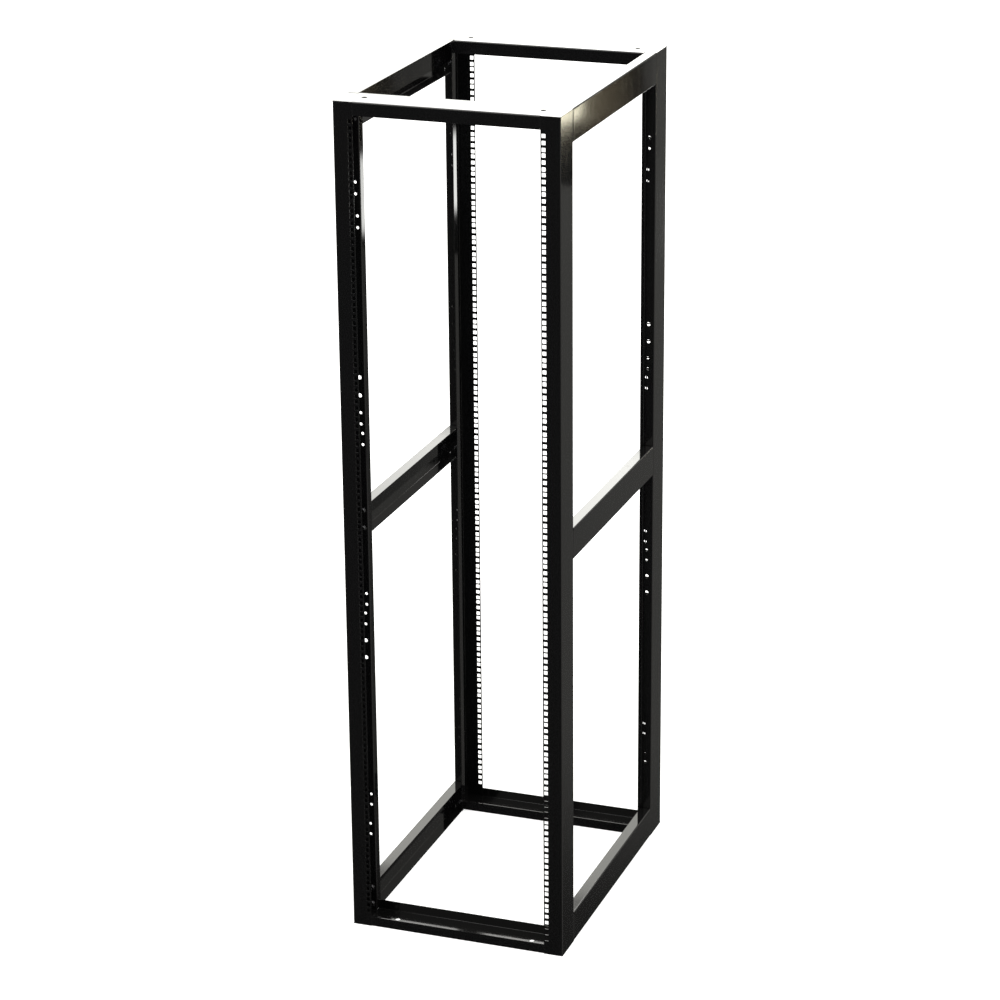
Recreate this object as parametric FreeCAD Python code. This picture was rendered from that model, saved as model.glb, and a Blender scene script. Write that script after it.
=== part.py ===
"""Four post open frame rack with 45 rack units of 19 inch square-hole mounting.

The origin is at the centre of the footprint on the floor, +Z is up, the front faces -Y and +X is right.
Everything is folded sheet steel: four posts, a base and a top channel across the front and across the
rear, and three side rails on each side, each bolted through the return flanges of its two posts.
"""
import FreeCAD, Part
import math
import os

V = FreeCAD.Vector

# ---- overall sizes, in millimetres ----
RACK_WIDTH = 546.1            # over the webs of the left and right posts
RACK_DEPTH = 800.1            # over the front and the rear mounting flanges
UNIT = 44.45                  # one rack unit
UNIT_COUNT = 45
BASE_CLEAR = 34.0             # floor to the lowest rack unit
TOP_CLEAR = 39.0              # highest rack unit to the top of the rack

# ---- sheet ----
POST_SHEET = 2.0
RAIL_SHEET = 2.0
BEND_INSIDE = 1.0             # inside radius of every fold
SEAT = 0.3                    # clearance where one folded piece lies inside another

# ---- post section ----
OPENING = 450.85              # clear width between the mounting flanges
POST_DEPTH = 86.5             # mounting face to the face of the return flange
RETURN_FLANGE = 29.0          # web face to the face of the lip
POST_LIP = 22.0               # how far the lip stands out from the return flange

# ---- square mounting holes ----
HOLE_LINES = 465.1            # between the left and the right column
SQUARE = 9.5
EDGE_STEP = 6.35              # unit boundary to the first hole
HOLE_STEP = 15.875            # between the three holes of a unit
HOLES_PER_UNIT = 3

# ---- round holes in the return flange ----
SCREW_HOLE_SIDES = 8          # bolted and pilot holes are cut with flats, to keep their many walls few
BOLT_HOLE = 10.0
BOLT_STEP = 44.45             # between the two bolts at each end of a side rail
BOLT_LINE = 15.5              # web face to the line of bolt holes
SPARE_BOLT_HEIGHT = 333.8     # middle of a spare bolt pair, above and below mid height
PILOT_HOLE = 7.0
PILOT_STEP = 28.0             # between the two pilot holes of a pair
PILOT_LINE_OUT = 16.5         # web face to the pairs that lie further from mid height
PILOT_LINE_IN = 20.0          # web face to the pairs that lie nearer to mid height
PILOT_HEIGHTS_OUT = (254.7, 814.2)
PILOT_HEIGHTS_IN = (203.5, 733.9)

# ---- base and top channels ----
CHANNEL_DEPTH = 95.25
BASE_LIP = 25.4
TOP_LIP = 32.0
ANCHOR_HOLE = 13.0
BASE_HOLE_SPAN = 352.0        # between the two holes of a base channel
TOP_HOLE_SPAN = 430.0         # between the two holes of a top channel
ANCHOR_SETBACK = 52.0         # mounting face to the holes

# ---- side rails ----
SIDE_RAIL_HEIGHT = 77.0
SIDE_TAB_CLEAR = 6.0          # rail flange face to the edge of the end tab

# ---- worked out ----
RACK_HEIGHT = BASE_CLEAR + UNIT_COUNT * UNIT + TOP_CLEAR
MID_HEIGHT = RACK_HEIGHT / 2
SIDE = RACK_WIDTH / 2
FACE = RACK_DEPTH / 2
RETURN_FACE = FACE - POST_DEPTH
LIP_FACE = SIDE - RETURN_FLANGE
SIDE_FLANGE = RETURN_FLANGE - POST_SHEET - SEAT
RAIL_LEVELS = {
    "bottom": SIDE_RAIL_HEIGHT / 2,
    "middle": MID_HEIGHT,
    "top": RACK_HEIGHT - SIDE_RAIL_HEIGHT / 2,
}


def unit(vector):
    """The same direction, one millimetre long."""
    return FreeCAD.Vector(vector).normalize()


def folded_sheet(corners, sheet, run):
    """A folded sheet: corners are one face of the section, the sheet lies on the left of the path.

    Left is seen with the extrusion vector `run` pointing at the viewer. Every fold gets the inside
    radius BEND_INSIDE on its inner face and that radius plus the sheet on its outer face.
    """
    up = unit(run)
    headings = [unit(b - a) for a, b in zip(corners, corners[1:])]
    lefts = [up.cross(heading) for heading in headings]
    near = [corners[0]]
    far = [corners[0] + lefts[0] * sheet]
    near_radii = []
    far_radii = []
    for before, after, left_1, left_2, corner in zip(headings, headings[1:], lefts, lefts[1:], corners[1:]):
        near.append(corner)
        far.append(corner + (left_1 + left_2) * (sheet / (1 + left_1.dot(left_2))))
        turns_left = before.cross(after).dot(up) > 0
        near_radii.append(BEND_INSIDE + sheet if turns_left else BEND_INSIDE)
        far_radii.append(BEND_INSIDE if turns_left else BEND_INSIDE + sheet)
    near.append(corners[-1])
    far.append(corners[-1] + lefts[-1] * sheet)
    edges = rounded_path(near, near_radii)
    edges.append(Part.makeLine(near[-1], far[-1]))
    edges.extend(rounded_path(far, far_radii))
    edges.append(Part.makeLine(far[0], near[0]))
    outline = Part.Wire(Part.__sortEdges__(edges))
    return Part.Face(outline).extrude(run)


def rounded_path(points, radii):
    """The edges of an open path whose inner corners are tangent arcs of the given radii."""
    edges = []
    start = points[0]
    for before, corner, after, radius in zip(points, points[1:], points[2:], radii):
        back = unit(before - corner)
        ahead = unit(after - corner)
        half = back.getAngle(ahead) / 2
        reach = radius / math.tan(half)
        entry = corner + back * reach
        leave = corner + ahead * reach
        bisector = unit(back + ahead)
        middle = corner + bisector * (radius / math.sin(half) - radius)
        edges.append(Part.makeLine(start, entry))
        edges.append(Part.Arc(entry, middle, leave).toShape())
        start = leave
    edges.append(Part.makeLine(start, points[-1]))
    return edges


def mirror_x(shape):
    return shape.mirror(V(0, 0, 0), V(1, 0, 0))


def mirror_y(shape):
    return shape.mirror(V(0, 0, 0), V(0, 1, 0))


def box(low, high):
    """A box between two corners given as (x, y, z)."""
    size = [b - a for a, b in zip(low, high)]
    return Part.makeBox(size[0], size[1], size[2], V(*low))


# ---- posts ----
def square_holes():
    """Cutters for the column of square holes in the mounting flange of the front left post."""
    cutters = []
    x = -HOLE_LINES / 2
    for number in range(UNIT_COUNT):
        unit_floor = BASE_CLEAR + number * UNIT
        for hole in range(HOLES_PER_UNIT):
            z = unit_floor + EDGE_STEP + hole * HOLE_STEP
            low = (x - SQUARE / 2, -FACE - POST_SHEET, z - SQUARE / 2)
            high = (x + SQUARE / 2, -FACE + 2 * POST_SHEET, z + SQUARE / 2)
            cutters.append(box(low, high))
    return cutters


def screw_hole(diameter, x, z, sheet):
    """A cutter along Y through the return flange and a rail tab, with flats that touch the hole's circle."""
    corner_radius = diameter / 2 / math.cos(math.pi / SCREW_HOLE_SIDES)
    start = -RETURN_FACE - 2 * sheet
    turns = [2 * math.pi * (side + 0.5) / SCREW_HOLE_SIDES for side in range(SCREW_HOLE_SIDES)]
    rim = [V(x + corner_radius * math.cos(turn), start, z + corner_radius * math.sin(turn)) for turn in turns]
    return Part.Face(Part.makePolygon(rim + rim[:1])).extrude(V(0, 4 * sheet, 0))


def pair(centre, step):
    """Two heights, half a step below and above the centre."""
    return [centre - step / 2, centre + step / 2]


def mirrored_pairs(height, step):
    """A pair below and a pair above mid height."""
    return pair(MID_HEIGHT - height, step) + pair(MID_HEIGHT + height, step)


def return_flange_holes():
    """Cutters for the rail bolts, the pilot holes and the spare bolt holes of the front left post."""
    bolt_line = -SIDE + BOLT_LINE
    cutters = []
    for level in RAIL_LEVELS.values():
        cutters += [screw_hole(BOLT_HOLE, bolt_line, z, POST_SHEET) for z in pair(level, BOLT_STEP)]
    for heights, from_web in ((PILOT_HEIGHTS_OUT, PILOT_LINE_OUT), (PILOT_HEIGHTS_IN, PILOT_LINE_IN)):
        for height in heights:
            for z in mirrored_pairs(height, PILOT_STEP):
                cutters.append(screw_hole(PILOT_HOLE, -SIDE + from_web, z, POST_SHEET))
    for z in mirrored_pairs(SPARE_BOLT_HEIGHT, BOLT_STEP):
        place = V(bolt_line, -RETURN_FACE - 2 * POST_SHEET, z)
        cutters.append(Part.makeCylinder(BOLT_HOLE / 2, 4 * POST_SHEET, place, V(0, 1, 0)))
    return cutters


def front_left_post():
    """Mounting flange, web, return flange and lip, standing on the base channel."""
    foot = RAIL_SHEET
    lip_line = -LIP_FACE - POST_SHEET
    corners = [
        V(lip_line, -RETURN_FACE + POST_LIP, foot),
        V(lip_line, -RETURN_FACE, foot),
        V(-SIDE, -RETURN_FACE, foot),
        V(-SIDE, -FACE, foot),
        V(-OPENING / 2, -FACE, foot),
    ]
    post = folded_sheet(corners, POST_SHEET, V(0, 0, RACK_HEIGHT - 2 * RAIL_SHEET))
    return post.cut(Part.makeCompound(square_holes() + return_flange_holes()))


# ---- base and top channels ----
def front_channel(lip, hole_span):
    """The front base channel: a web on the floor, a lip in front and one behind, lips up.

    The lips run between the posts, and the web runs on under them.
    """
    post_gap = OPENING / 2 - SEAT
    lip_gap = LIP_FACE - SEAT
    back = -FACE + CHANNEL_DEPTH
    corners = [
        V(-lip_gap, -FACE, lip),
        V(-lip_gap, -FACE, 0),
        V(-lip_gap, back, 0),
        V(-lip_gap, back, lip),
    ]
    channel = folded_sheet(corners, RAIL_SHEET, V(2 * lip_gap, 0, 0))
    fold = BEND_INSIDE + RAIL_SHEET
    pad_inner = min(post_gap, lip_gap)
    front_stub = box((post_gap, -FACE, 0), (SIDE, -FACE + fold, lip))
    pad = box((pad_inner, -FACE, 0), (SIDE, -RETURN_FACE, RAIL_SHEET))
    channel = channel.cut([front_stub, mirror_x(front_stub)])
    channel = channel.fuse([pad, mirror_x(pad)])
    for side in (-1, 1):
        place = V(side * hole_span / 2, -FACE + ANCHOR_SETBACK, -RAIL_SHEET)
        channel = channel.cut(Part.makeCylinder(ANCHOR_HOLE / 2, 3 * RAIL_SHEET, place))
    return channel.removeSplitter()


def lift_to_top(shape):
    """Turn a base channel over and set its web at the top of the rack."""
    flipped = shape.mirror(V(0, 0, 0), V(0, 0, 1))
    flipped.translate(V(0, 0, RACK_HEIGHT))
    return flipped


# ---- side rails ----
def left_side_rail(level):
    """A channel with its web outside and a bolted tab at each end, between the return flanges."""
    low = level - SIDE_RAIL_HEIGHT / 2
    high = level + SIDE_RAIL_HEIGHT / 2
    inner = -SIDE + SIDE_FLANGE
    fold = BEND_INSIDE + RAIL_SHEET
    end = RETURN_FACE - fold
    corners = [V(inner, -end, low), V(-SIDE, -end, low), V(-SIDE, -end, high), V(inner, -end, high)]
    rail = folded_sheet(corners, RAIL_SHEET, V(0, 2 * end, 0))
    tab_low = low + SIDE_TAB_CLEAR
    tab_height = SIDE_RAIL_HEIGHT - 2 * SIDE_TAB_CLEAR
    tab_corners = [
        V(-SIDE, -end + fold, tab_low),
        V(-SIDE, -RETURN_FACE, tab_low),
        V(inner - BEND_INSIDE, -RETURN_FACE, tab_low),
    ]
    tab = folded_sheet(tab_corners, RAIL_SHEET, V(0, 0, tab_height))
    for z in pair(level, BOLT_STEP):
        tab = tab.cut(screw_hole(BOLT_HOLE, -SIDE + BOLT_LINE, z, RAIL_SHEET))
    return rail.fuse([tab, mirror_y(tab)]).removeSplitter()


# ---- the whole rack ----
def rack():
    """Every sub-part of the rack by name."""
    parts = {}
    post = front_left_post()
    parts["post_front_left"] = post
    parts["post_front_right"] = mirror_x(post)
    parts["post_rear_left"] = mirror_y(post)
    parts["post_rear_right"] = mirror_x(mirror_y(post))
    base = front_channel(BASE_LIP, BASE_HOLE_SPAN)
    parts["base_channel_front"] = base
    parts["base_channel_rear"] = mirror_y(base)
    top = lift_to_top(front_channel(TOP_LIP, TOP_HOLE_SPAN))
    parts["top_channel_front"] = top
    parts["top_channel_rear"] = mirror_y(top)
    for name, level in RAIL_LEVELS.items():
        rail = left_side_rail(level)
        parts["side_rail_left_" + name] = rail
        parts["side_rail_right_" + name] = mirror_x(rail)
    return parts


os.makedirs("parts", exist_ok=True)
for node, shape in rack().items():
    shape.exportStep("parts/" + node + ".step")
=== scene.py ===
"""Looks of the four post open frame rack: gloss black coat, rail bolts and nuts, floor, light and camera.

All lengths are in metres in the rack's own frame: origin on the floor, +Z up, the front faces -Y.
"""
import math

import bpy
import numpy as np
from mathutils import Matrix, Vector


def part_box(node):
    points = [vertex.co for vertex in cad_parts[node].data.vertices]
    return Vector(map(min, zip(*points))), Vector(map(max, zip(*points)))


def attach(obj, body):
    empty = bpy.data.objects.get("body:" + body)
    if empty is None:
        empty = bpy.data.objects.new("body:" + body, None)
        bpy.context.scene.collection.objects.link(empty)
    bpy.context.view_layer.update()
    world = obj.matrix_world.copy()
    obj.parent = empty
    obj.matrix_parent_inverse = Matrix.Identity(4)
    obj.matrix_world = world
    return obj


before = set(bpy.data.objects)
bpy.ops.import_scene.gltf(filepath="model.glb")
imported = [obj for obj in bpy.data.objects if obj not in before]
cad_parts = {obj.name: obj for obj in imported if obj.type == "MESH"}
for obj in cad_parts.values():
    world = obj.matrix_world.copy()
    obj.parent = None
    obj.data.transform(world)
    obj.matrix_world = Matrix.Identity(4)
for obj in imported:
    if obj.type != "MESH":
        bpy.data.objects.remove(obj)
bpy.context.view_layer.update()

MM = 0.001

# ---- camera ----
CAMERA_AZIMUTH = math.radians(20.02)     # how far the camera stands to the right of the front
CAMERA_DROP = math.radians(19.73)        # how far it looks down
CAMERA_ROLL = math.radians(0.52)
CAMERA_PLACE = Vector((2.5582, -7.0846, 3.7097))
CAMERA_LENS = 117.4
SENSOR = 36.0

# ---- rail bolts, M8 with flange, and their flange nuts ----
POST_SHEET = 2.0 * MM
RAIL_SHEET = 2.0 * MM
BOLT_LINE = 15.5 * MM                    # web face to the bolts
BOLT_STEP = 44.45 * MM                   # between the two bolts of a rail end
POINTS_AROUND = 36                       # points of each ring of a bolt or nut
SHARP_EDGE = math.radians(32)            # edges that turn more than this stay sharp

THREAD_RADIUS = 4.0 * MM
THREAD_DEPTH = 0.68 * MM
THREAD_PITCH = 1.25 * MM
THREAD_STOP = 0.3 * MM                   # the thread ends this far below the head
RINGS_PER_PITCH = 5
SHANK_LENGTH = 16.0 * MM
TIP_RADIUS = 2.9 * MM
HEAD_HEIGHT = 4.4 * MM
DOME_RADIUS = 6.9 * MM
DOME_TOP_RADIUS = 3.6 * MM
DOME_FOOT = 1.5 * MM                     # height at which the dome starts
DOME_RINGS = 8
SOCKET_MOUTH_RADIUS = 3.25 * MM
SOCKET_ACROSS = 5.0 * MM
SOCKET_CHAMFER = 0.3 * MM
SOCKET_FLOOR = 1.6 * MM
SOCKET_CENTRE = 1.1 * MM                 # bottom of the cone that the drill leaves in the socket
# radius and height of the head's flange, from the thread outwards and up
HEAD_FLANGE = np.array([(4.0, 0.0), (8.3, 0.0), (8.6, 0.3), (8.6, 0.9), (8.2, 1.25)]) * MM

NUT_ACROSS = 13.0 * MM
NUT_TOP_RADIUS = 5.9 * MM
NUT_CONE_RADIUS = 7.6 * MM               # radius of the trimming cone at NUT_CONE_HEIGHT
NUT_CONE_HEIGHT = 6.9 * MM
NUT_CONE_SLOPE = 1.6                     # radius lost for each unit of height
NUT_BODY_HEIGHTS = np.array([2.3, 4.5, 6.7, 7.1, 7.5, 7.9]) * MM
# radius and height of the nut's flange from the bore outwards, and of its mouth from the top face into the bore
NUT_FLANGE = np.array([(4.2, 0.0), (8.6, 0.0), (8.9, 0.3), (8.9, 1.0), (7.9, 1.9)]) * MM
NUT_MOUTH = np.array([(5.9, 8.0), (4.4, 8.0), (3.7, 7.3), (3.7, 0.6)]) * MM

# ---- coat ----
BLACK = (0.0031, 0.0031, 0.0033)
THIN_BLACK = (0.022, 0.022, 0.023)       # the film where it runs thin on an edge
BOLT_COLOUR = (0.10, 0.10, 0.105)
BOLT_EDGE = (0.24, 0.24, 0.25)
NUT_COLOUR = (0.085, 0.085, 0.09)
NUT_EDGE = (0.22, 0.22, 0.23)
DUST_COLOUR = (0.36, 0.35, 0.33, 1)
RUB_STRETCH = (55.0, 55.0, 3.5)          # rubs are long along Z
RUB_ROUGHNESS = 0.05
DUST_ROUGHNESS = 0.5
EDGE_ROUGHNESS = 0.12

# ---- room and floor ----
FLOOR_HALF = 30.0
FLOOR_GLOW_NEAR = 0.55                   # emission of the floor within 0.9 m of the middle
FLOOR_GLOW_FAR = 1.1                     # and from 3.5 m on
ROOM_COLOUR = (1.0, 0.99, 0.93, 1)
ROOM_FRONT_FLOOR = 0.028                 # strength of the room, looking down and to the front
ROOM_FRONT_LEVEL = 0.4
ROOM_FRONT_HIGH = 1.0
ROOM_BACK_HIGH = 0.35
ROOM_BACK_HIGH_RIGHT = 0.55              # added on the right
ROOM_BESIDE = 0.55                       # added to the low part at both sides
CARD_WHITE = (1.0, 0.995, 0.95)
CARD_LOW_WHITE = (1.0, 0.995, 0.93)
CARD_WINDOW = (1.0, 1.0, 0.97)
CARD_WARM = (1.0, 0.80, 0.5)
CARD_LAMP = (1.0, 0.94, 0.72)


def add_camera():
    """A long lens above and to the right of the front."""
    flat = math.cos(CAMERA_DROP)
    ahead = Vector((
        -math.sin(CAMERA_AZIMUTH) * flat,
        math.cos(CAMERA_AZIMUTH) * flat,
        -math.sin(CAMERA_DROP),
    ))
    right = ahead.cross(Vector((0, 0, 1))).normalized()
    right = Matrix.Rotation(CAMERA_ROLL, 3, ahead) @ right
    up = right.cross(ahead)
    turn = Matrix((right, up, -ahead)).transposed().to_4x4()
    data = bpy.data.cameras.new("camera")
    data.lens = CAMERA_LENS
    data.sensor_width = SENSOR
    data.clip_end = 100
    camera = bpy.data.objects.new("camera", data)
    camera.matrix_world = Matrix.Translation(CAMERA_PLACE) @ turn
    bpy.context.scene.collection.objects.link(camera)
    bpy.context.scene.camera = camera


# ---- materials ----
class Nodes:
    """Short hand for building a node tree."""

    def __init__(self, tree):
        self.tree = tree

    def add(self, kind, inputs=None, **settings):
        node = self.tree.nodes.new(kind)
        for key, value in settings.items():
            setattr(node, key, value)
        for key, value in (inputs or {}).items():
            if isinstance(value, bpy.types.NodeSocket):
                self.tree.links.new(value, node.inputs[key])
            else:
                node.inputs[key].default_value = value
        return node

    def math(self, operation, first, second=0.0, clamp=False):
        node = self.add("ShaderNodeMath", {0: first, 1: second}, operation=operation, use_clamp=clamp)
        return node.outputs[0]

    def vector(self, operation, first, second=(0.0, 0.0, 0.0)):
        return self.add("ShaderNodeVectorMath", {0: first, 1: second}, operation=operation).outputs

    def split(self, vector):
        return self.add("ShaderNodeSeparateXYZ", {0: vector}).outputs

    def span(self, value, low, high, to_low=0.0, to_high=1.0):
        """Carry value from low..high to to_low..to_high with a soft start and end."""
        inputs = {"Value": value, "From Min": low, "From Max": high, "To Min": to_low, "To Max": to_high}
        return self.add("ShaderNodeMapRange", inputs, interpolation_type="SMOOTHSTEP").outputs["Result"]

    def noise(self, place, scale, detail=2.0, roughness=0.5):
        inputs = {"Vector": place, "Scale": scale, "Detail": detail, "Roughness": roughness}
        return self.add("ShaderNodeTexNoise", inputs).outputs["Fac"]

    def blend(self, share, first, second):
        """A colour from first to second."""
        node = self.add("ShaderNodeMix", {"Factor": share, 6: first, 7: second}, data_type="RGBA")
        return node.outputs[2]


def new_group(name, inputs, outputs):
    """An empty shader node group with named sockets: (name, kind, value) in, (name, kind) out."""
    tree = bpy.data.node_groups.new(name, "ShaderNodeTree")
    for label, kind, value in inputs:
        socket = tree.interface.new_socket(label, in_out="INPUT", socket_type="NodeSocket" + kind)
        if value is not None:
            socket.default_value = value
    for label, kind in outputs:
        tree.interface.new_socket(label, in_out="OUTPUT", socket_type="NodeSocket" + kind)
    make = Nodes(tree)
    return tree, make, make.add("NodeGroupInput").outputs, make.add("NodeGroupOutput")


def coat_relief_group():
    """Orange peel and the slow waviness of pressed sheet, as a height in millimetres."""
    inputs = [("Place", "Vector", None), ("Peel Scale", "Float", 300.0), ("Peel Depth", "Float", 0.012),
              ("Wave Scale", "Float", 12.0), ("Wave Depth", "Float", 0.1)]
    tree, make, given, out = new_group("coat_relief", inputs, [("Height", "Float")])
    peel = make.math("MULTIPLY", make.noise(given["Place"], given["Peel Scale"], 1.5), given["Peel Depth"])
    wave = make.math("MULTIPLY", make.noise(given["Place"], given["Wave Scale"], 0.5), given["Wave Depth"])
    make.tree.links.new(make.math("ADD", peel, wave), out.inputs["Height"])
    return tree


def handling_group():
    """Cloudy gloss, faint rubs along the length, and specks of settled dust on faces that look up."""
    inputs = [("Place", "Vector", None), ("Colour", "Color", None), ("Roughness", "Float", 0.12),
              ("Spread", "Float", 0.03), ("Dust", "Float", 0.02)]
    tree, make, given, out = new_group("handling_marks", inputs, [("Colour", "Color"), ("Roughness", "Float")])
    long_way = make.vector("MULTIPLY", given["Place"], RUB_STRETCH)[0]
    rub = make.span(make.noise(long_way, 1.0, 3.0, 0.6), 0.56, 0.78)
    cloud = make.noise(given["Place"], 6.0, 4.0, 0.55)
    swing = make.math("MULTIPLY", make.math("SUBTRACT", cloud, 0.5), 4.0)
    rough = make.math("ADD", given["Roughness"], make.math("MULTIPLY", swing, given["Spread"]))
    rough = make.math("ADD", rough, make.math("MULTIPLY", rub, RUB_ROUGHNESS))
    facing = make.split(make.add("ShaderNodeNewGeometry").outputs["Normal"])["Z"]
    speck = make.span(make.noise(given["Place"], 900.0, 2.0, 0.7), 0.58, 0.74)
    film = make.math("ADD", make.math("MULTIPLY", speck, 0.8), 0.2)
    settled = make.math("MULTIPLY", make.span(facing, 0.55, 0.95), film)
    dust = make.math("MULTIPLY", settled, given["Dust"], clamp=True)
    rough = make.math("ADD", rough, make.math("MULTIPLY", dust, DUST_ROUGHNESS), clamp=True)
    make.tree.links.new(make.blend(dust, given["Colour"], DUST_COLOUR), out.inputs["Colour"])
    make.tree.links.new(rough, out.inputs["Roughness"])
    return tree


def edge_group():
    """Where the sheet turns a corner: a rounded normal, and a mask that is 1 on the corner itself."""
    inputs = [("Place", "Vector", None), ("Radius", "Float", 0.0005)]
    tree, make, given, out = new_group("thin_edge", inputs, [("Mask", "Float"), ("Normal", "Vector")])
    rounded = make.add("ShaderNodeBevel", {"Radius": given["Radius"]}, samples=4).outputs["Normal"]
    flat = make.add("ShaderNodeNewGeometry").outputs["Normal"]
    along = make.vector("DOT_PRODUCT", rounded, flat)["Value"]
    corner = make.span(make.math("SUBTRACT", 1.0, along), 0.03, 0.22)
    broken = make.span(make.noise(given["Place"], 160.0, 3.0, 0.65), 0.42, 0.66)
    make.tree.links.new(make.math("MULTIPLY", corner, broken), out.inputs["Mask"])
    make.tree.links.new(rounded, out.inputs["Normal"])
    return tree


RELIEF = coat_relief_group()
HANDLING = handling_group()
EDGE = edge_group()


def new_material(name):
    """An empty material and the helper that builds its nodes."""
    material = bpy.data.materials.new(name)
    material.use_nodes = True
    material.node_tree.nodes.clear()
    return material, Nodes(material.node_tree)


def finish_material(name, base, bare, roughness, spread, dust, peel, wave, metallic=0.0, offset=(0, 0, 0)):
    """Black coat or plating: relief, handling marks and a thinner film on the edges, all from shared groups.

    Base and bare are the colours of the face and of its edges, spread is how far the gloss wanders, peel and
    wave are the depths of the relief in millimetres, and offset moves the pattern from piece to piece.
    """
    material, make = new_material(name)
    place = make.add("ShaderNodeTexCoord").outputs["Object"]
    place = make.vector("ADD", place, offset)[0]
    handling = {"Place": place, "Colour": (*base, 1), "Roughness": roughness, "Spread": spread, "Dust": dust}
    marks = make.add("ShaderNodeGroup", handling, node_tree=HANDLING).outputs
    edge = make.add("ShaderNodeGroup", {"Place": place}, node_tree=EDGE).outputs
    depths = {"Place": place, "Peel Depth": peel, "Wave Depth": wave}
    height = make.add("ShaderNodeGroup", depths, node_tree=RELIEF).outputs["Height"]
    colour = make.blend(edge["Mask"], marks["Colour"], (*bare, 1))
    edge_rough = make.math("MULTIPLY", edge["Mask"], EDGE_ROUGHNESS)
    rough = make.math("ADD", marks["Roughness"], edge_rough, clamp=True)
    surface = {"Height": height, "Strength": 1.0, "Distance": MM, "Normal": edge["Normal"]}
    bump = make.add("ShaderNodeBump", surface).outputs["Normal"]
    finish = {"Base Color": colour, "Roughness": rough, "Metallic": metallic, "Normal": bump}
    shader = make.add("ShaderNodeBsdfPrincipled", finish)
    make.add("ShaderNodeOutputMaterial", {"Surface": shader.outputs["BSDF"]})
    return material


COATS = {
    "post_": finish_material(
        "post_gloss_black", BLACK, THIN_BLACK,
        roughness=0.065, spread=0.012, dust=0.012, peel=0.007, wave=0.10, offset=(3.1, 0.7, 0.2),
    ),
    "base_": finish_material(
        "base_gloss_black", BLACK, THIN_BLACK,
        roughness=0.09, spread=0.018, dust=0.016, peel=0.009, wave=0.08, offset=(0.4, 5.3, 1.9),
    ),
    "top_": finish_material(
        "top_gloss_black", BLACK, THIN_BLACK,
        roughness=0.09, spread=0.018, dust=0.016, peel=0.009, wave=0.08, offset=(6.2, 1.3, 2.7),
    ),
    "side_": finish_material(
        "rail_gloss_black", BLACK, THIN_BLACK,
        roughness=0.055, spread=0.012, dust=0.012, peel=0.006, wave=0.12, offset=(1.7, 2.9, 4.3),
    ),
}
BOLT_BLACK = finish_material(
    "bolt_black_zinc", BOLT_COLOUR, BOLT_EDGE,
    roughness=0.26, spread=0.03, dust=0.01, peel=0.003, wave=0.0, metallic=1.0,
)
NUT_BLACK = finish_material(
    "nut_black_zinc", NUT_COLOUR, NUT_EDGE,
    roughness=0.30, spread=0.03, dust=0.01, peel=0.003, wave=0.0, metallic=1.0, offset=(0.3, 0.1, 0.6),
)


def coat_rack():
    """Give each sheet-metal piece the coat that its name starts with."""
    for name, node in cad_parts.items():
        coat = next(material for start, material in COATS.items() if name.startswith(start))
        for index in range(len(node.material_slots)):
            node.material_slots[index].material = coat


# ---- rail bolts and nuts ----
def ring_faces(rings, around, wrapped):
    """Quads between neighbouring rings of points; wrapped also joins the last ring to the first."""
    here = np.arange(rings * around).reshape(rings, around)
    above = np.roll(here, -1, axis=0) if wrapped else here[1:]
    below = here if wrapped else here[:-1]
    corners = [below, np.roll(below, -1, axis=1), np.roll(above, -1, axis=1), above]
    return np.stack(corners, axis=-1).reshape(-1, 4)


def fixing_mesh(name, shape, turns, seat, outward):
    """The closed surface swept round an axis: radius and height are functions of the ring and of the turn.

    A point is seat + radius * (cos turn * across + sin turn * up) + height * outward. Shape holds radius,
    height and ends. Ends are the heights of two points on the axis, to which a fan closes each end; where
    they are None, the last ring runs back into the first, as round a bore.
    """
    radius, height, ends = shape
    across = np.cross([0.0, 0.0, 1.0], outward)
    up = np.array([0.0, 0.0, 1.0])
    rings = len(radius)
    around = len(turns)
    radial = np.cos(turns)[:, None] * across + np.sin(turns)[:, None] * up
    points = seat + radius[:, :, None] * radial[None] + height[:, :, None] * outward
    verts = points.reshape(-1, 3)
    faces = ring_faces(rings, around, ends is None).tolist()
    if ends is not None:
        verts = np.concatenate([verts, seat + np.outer(ends, outward)])
        first = np.arange(around)
        after = np.roll(first, -1)
        last = first + (rings - 1) * around
        after_last = after + (rings - 1) * around
        low_centre = np.full(around, rings * around)
        faces += np.stack([after, first, low_centre], axis=-1).tolist()
        faces += np.stack([last, after_last, low_centre + 1], axis=-1).tolist()
    mesh = bpy.data.meshes.new(name)
    mesh.from_pydata(verts.tolist(), [], faces)
    mesh.shade_smooth()
    mesh.set_sharp_from_angle(angle=SHARP_EDGE)
    return mesh


def hexagon(turn, across_flats):
    """Distance from the axis to the side of a hexagon, as a function of the turn."""
    sector = math.pi / 3
    return across_flats / 2 / np.cos((turn + sector / 2) % sector - sector / 2)


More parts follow.
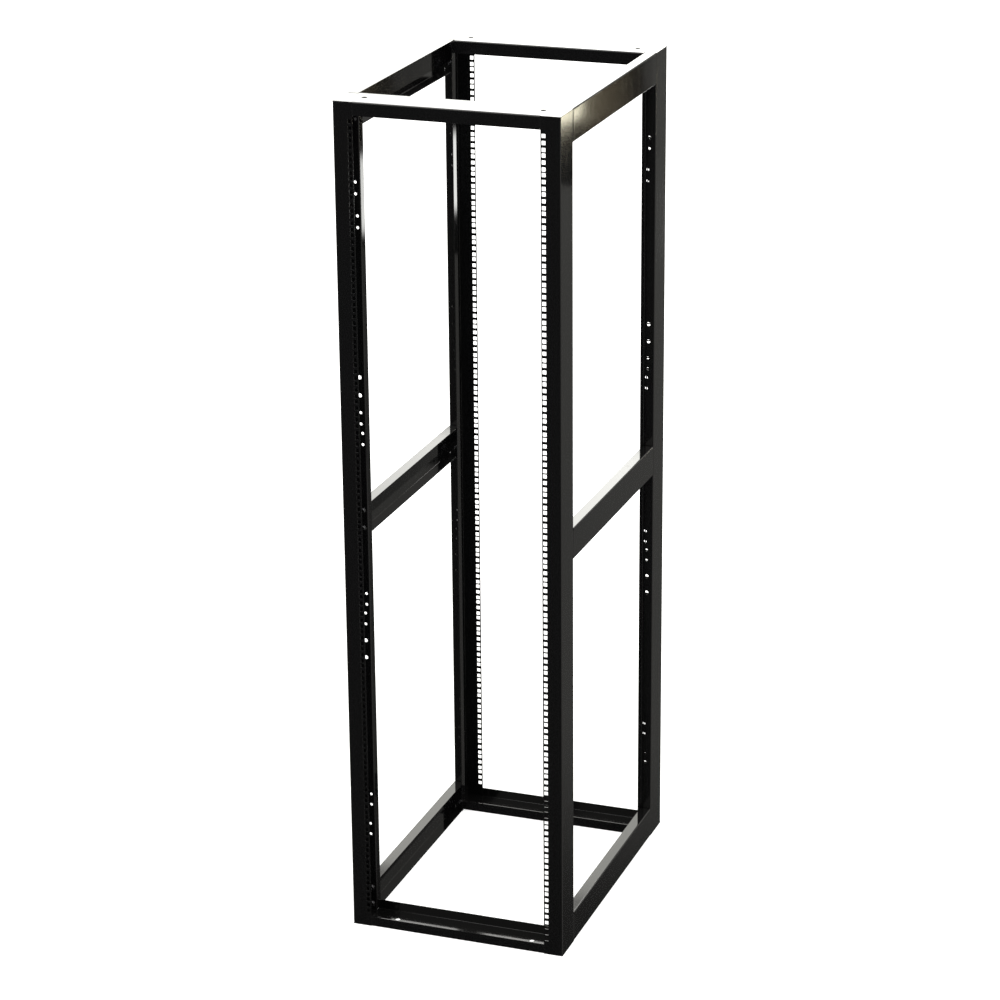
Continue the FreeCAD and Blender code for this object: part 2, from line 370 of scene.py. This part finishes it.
def bolt_shape(turns):
    """Radius, height and ends of a flanged button head bolt, for each ring and turn from the tip to the socket.

    The thread is a triangle wave of height / pitch + turn / full turn, cut off by the tip's cone; the dome
    is a quarter of an ellipse; the socket is a hexagon.
    """
    shank = np.arange(-SHANK_LENGTH, -THREAD_STOP, THREAD_PITCH / RINGS_PER_PITCH)[:, None]
    wave = (shank / THREAD_PITCH + turns / (2 * math.pi)) % 1.0
    thread = THREAD_RADIUS - THREAD_DEPTH * np.abs(2 * wave - 1)
    thread = np.minimum(thread, TIP_RADIUS + shank + SHANK_LENGTH)
    rise = np.linspace(0, math.pi / 2, DOME_RINGS)
    dome = DOME_TOP_RADIUS + (DOME_RADIUS - DOME_TOP_RADIUS) * np.cos(rise)
    dome_height = DOME_FOOT + (HEAD_HEIGHT - DOME_FOOT) * np.sin(rise)
    profile = np.concatenate([HEAD_FLANGE[:, 0], dome, [SOCKET_MOUTH_RADIUS]])[:, None]
    profile_height = np.concatenate([HEAD_FLANGE[:, 1], dome_height, [HEAD_HEIGHT]])[:, None]
    socket = np.stack([hexagon(turns, SOCKET_ACROSS)] * 2)
    socket_height = np.array([[HEAD_HEIGHT - SOCKET_CHAMFER], [SOCKET_FLOOR]])
    same = np.ones_like(turns)
    radius = np.concatenate([thread, profile * same, socket])
    height = np.concatenate([shank * same, profile_height * same, socket_height * same])
    return radius, height, (-SHANK_LENGTH, SOCKET_CENTRE)


def nut_shape(turns):
    """Radius and height of a flanged hexagon nut, for each ring and turn round the outside and back in the bore.

    Above the flange the radius is the smaller of the hexagon and a cone that trims its corners.
    """
    cone = NUT_CONE_RADIUS + (NUT_CONE_HEIGHT - NUT_BODY_HEIGHTS) * NUT_CONE_SLOPE
    trimmed = np.maximum(cone, NUT_TOP_RADIUS)[:, None]
    body = np.minimum(hexagon(turns, NUT_ACROSS)[None, :], trimmed)
    same = np.ones_like(turns)
    radius = np.concatenate([NUT_FLANGE[:, :1] * same, body, NUT_MOUTH[:, :1] * same])
    height = np.concatenate([NUT_FLANGE[:, 1], NUT_BODY_HEIGHTS, NUT_MOUTH[:, 1]])[:, None] * same
    return radius, height, None


def add_fixing(name, mesh, material):
    mesh.materials.append(material)
    piece = bpy.data.objects.new(name, mesh)
    bpy.context.scene.collection.objects.link(piece)
    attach(piece, "root")


def add_rail_fixings():
    """Two bolts and nuts at each end of each side rail: heads inside the post, nuts on the rail's tab."""
    turns = np.linspace(0, 2 * math.pi, POINTS_AROUND, endpoint=False)
    bolt = bolt_shape(turns)
    nut = nut_shape(turns)

    def add_pair(label, x, tab, outward, z):
        """One bolt and its nut, on both sides of the post's flange and the rail's tab."""
        away = np.array([0.0, outward, 0.0])
        head_seat = np.array([x, tab + outward * POST_SHEET, z])
        nut_seat = np.array([x, tab - outward * RAIL_SHEET, z])
        bolt_mesh = fixing_mesh("rail_bolt_" + label, bolt, turns, head_seat, away)
        nut_mesh = fixing_mesh("rail_nut_" + label, nut, turns, nut_seat, -away)
        add_fixing("rail_bolt_" + label, bolt_mesh, BOLT_BLACK)
        add_fixing("rail_nut_" + label, nut_mesh, NUT_BLACK)

    for side in ("left", "right"):
        for level in ("bottom", "middle", "top"):
            low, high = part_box("side_rail_" + side + "_" + level)
            x = low[0] + BOLT_LINE if side == "left" else high[0] - BOLT_LINE
            middle = (low[2] + high[2]) / 2
            for end, tab, outward in (("front", low[1], -1.0), ("rear", high[1], 1.0)):
                label = "_".join((side, level, end))
                add_pair(label + "_lower", x, tab, outward, middle - BOLT_STEP / 2)
                add_pair(label + "_upper", x, tab, outward, middle + BOLT_STEP / 2)


# ---- stage ----
def plane_object(name, corners, material):
    mesh = bpy.data.meshes.new(name)
    mesh.from_pydata(corners, [], [(0, 1, 2, 3)])
    mesh.materials.append(material)
    plane = bpy.data.objects.new(name, mesh)
    bpy.context.scene.collection.objects.link(plane)
    return plane


def add_floor():
    """A pale floor that shines a little more away from the rack, where the overhead light falls off."""
    material, make = new_material("pale_floor")
    place = make.add("ShaderNodeTexCoord").outputs["Object"]
    away = make.vector("LENGTH", place)["Value"]
    glow = make.span(away, 0.9, 3.5, FLOOR_GLOW_NEAR, FLOOR_GLOW_FAR)
    grain = make.span(make.noise(place, 30.0, 3.0), 0.3, 0.7, 0.86, 0.9)
    tone = make.add("ShaderNodeCombineColor", {0: grain, 1: grain, 2: grain}).outputs[0]
    matt = {"Base Color": tone, "Roughness": 1.0, "Specular IOR Level": 0.0}
    shine = {"Emission Color": (1, 1, 1, 1), "Emission Strength": glow}
    shader = make.add("ShaderNodeBsdfPrincipled", {**matt, **shine})
    make.add("ShaderNodeOutputMaterial", {"Surface": shader.outputs["BSDF"]})
    corners = [(x * FLOOR_HALF, y * FLOOR_HALF, 0) for x, y in ((-1, -1), (1, -1), (1, 1), (-1, 1))]
    plane_object("floor", corners, material).visible_glossy = False


def add_card(name, y, x_range, z_range, tint, left, right, soft, tilt=0.0):
    """An upright card seen only in reflections, with soft edges.

    Left and right are its radiance at each side; tilt is how far its top and foot rise per metre towards -X.
    """
    material, make = new_material(name)
    (low_x, high_x), (low_z, high_z) = x_range, z_range
    place = make.split(make.add("ShaderNodeTexCoord").outputs["Object"])
    lean = make.math("MULTIPLY", make.math("SUBTRACT", place["X"], high_x), tilt)
    level = make.math("ADD", place["Z"], lean)
    strength = make.span(place["X"], low_x, low_x + soft)
    for share in (
        make.span(place["X"], high_x, high_x - soft),
        make.span(level, low_z, low_z + soft),
        make.span(level, high_z, high_z - soft),
        make.span(place["X"], low_x, high_x, left, right),
    ):
        strength = make.math("MULTIPLY", strength, share)
    glow = make.add("ShaderNodeEmission", {"Color": (*tint, 1), "Strength": strength})
    make.add("ShaderNodeOutputMaterial", {"Surface": glow.outputs["Emission"]})
    top = high_z + tilt * (high_x - low_x)
    corners = [(low_x, y, low_z), (high_x, y, low_z), (high_x, y, top), (low_x, y, top)]
    card = plane_object(name, corners, material)
    card.visible_camera = False
    card.visible_diffuse = False
    card.visible_shadow = False
    card.visible_transmission = False


def add_overhead(place, size, radiance):
    """A square light that looks at the foot of the rack; its power in watts is radiance times pi times its area."""
    data = bpy.data.lights.new("overhead", "AREA")
    data.shape = "RECTANGLE"
    data.size = size
    data.size_y = size
    data.energy = radiance * math.pi * size * size
    light = bpy.data.objects.new("overhead", data)
    light.visible_camera = False
    aim = (-Vector(place)).to_track_quat("-Z", "Y")
    light.matrix_world = Matrix.Translation(Vector(place)) @ aim.to_matrix().to_4x4()
    bpy.context.scene.collection.objects.link(light)


def add_world():
    """White where the lens looks past the floor; elsewhere a dim room, darkest low down and in front.

    The strength is a function of the direction: X to the right, Y to the back, Z up, each from -1 to 1.
    """
    world = bpy.data.worlds.new("studio")
    bpy.context.scene.world = world
    world.use_nodes = True
    world.node_tree.nodes.clear()
    make = Nodes(world.node_tree)
    toward = make.split(make.add("ShaderNodeTexCoord").outputs["Generated"])

    def fade(share, first, second):
        """First where share is 0, second where it is 1."""
        return make.math("ADD", first, make.math("MULTIPLY", share, make.math("SUBTRACT", second, first)))

    behind = make.span(toward["Y"], -0.15, 0.25)
    upper = make.span(toward["Z"], -0.03, 0.08)
    sideways = make.math("DIVIDE", toward["X"], make.math("MAXIMUM", toward["Y"], 0.2))
    foot = make.span(toward["Z"], -0.46, -0.40, 0.045, 0.15)
    knee = make.span(toward["Z"], -0.38, -0.2, 0.0, 0.06)
    right_dim = make.span(sideways, 0.34, 0.44, 1.0, 0.4)
    low_back = make.math("MULTIPLY", make.math("ADD", foot, knee), right_dim)
    low_front = make.span(toward["Z"], -0.16, -0.02, ROOM_FRONT_FLOOR, ROOM_FRONT_LEVEL)
    beside = make.span(make.math("ABSOLUTE", toward["X"]), 0.5, 0.85, 0.0, ROOM_BESIDE)
    low_all = make.math("ADD", fade(behind, low_front, low_back), beside)
    right_more = make.math("MULTIPLY", make.span(toward["X"], 0.05, 0.25), ROOM_BACK_HIGH_RIGHT)
    high_back = make.math("ADD", ROOM_BACK_HIGH, right_more)
    high_front = make.span(toward["Z"], 0.0, 0.2, ROOM_FRONT_LEVEL, ROOM_FRONT_HIGH)
    high_all = fade(behind, high_front, high_back)
    level = fade(upper, low_all, high_all)
    room = make.add("ShaderNodeBackground", {"Color": ROOM_COLOUR, "Strength": level})
    white = make.add("ShaderNodeBackground", {"Color": (1, 1, 1, 1), "Strength": 1.0})
    seen = make.add("ShaderNodeLightPath").outputs["Is Camera Ray"]
    both = make.add(
        "ShaderNodeMixShader",
        {0: seen, 1: room.outputs["Background"], 2: white.outputs["Background"]},
    )
    make.add("ShaderNodeOutputWorld", {"Surface": both.outputs["Shader"]})


coat_rack()
add_camera()
add_rail_fixings()
add_world()
add_floor()
add_overhead((0.0, -1.0, 6.0), size=6.0, radiance=2.4)
add_card("back_card", 4.0, (-2.9, -0.3), (2.34, 4.4), CARD_WHITE, left=3.0, right=5.6, soft=0.1)
add_card("low_back_card", 4.0, (-2.9, -0.3), (1.6, 2.38), CARD_LOW_WHITE, left=2.7, right=2.3, soft=0.1)
add_card("window_card", 1.7, (0.15, 0.63), (1.12, 1.403), CARD_WINDOW, left=4.6, right=5.0, soft=0.05, tilt=0.32)
add_card("warm_card", 5.0, (1.76, 2.7), (0.62, 1.25), CARD_WARM, left=0.2, right=0.85, soft=0.2)
add_card("lamp_card", 5.0, (2.03, 2.5), (0.475, 0.80), CARD_LAMP, left=8.5, right=8.5, soft=0.03, tilt=0.6)
bpy.context.scene.view_settings.view_transform = "Standard"
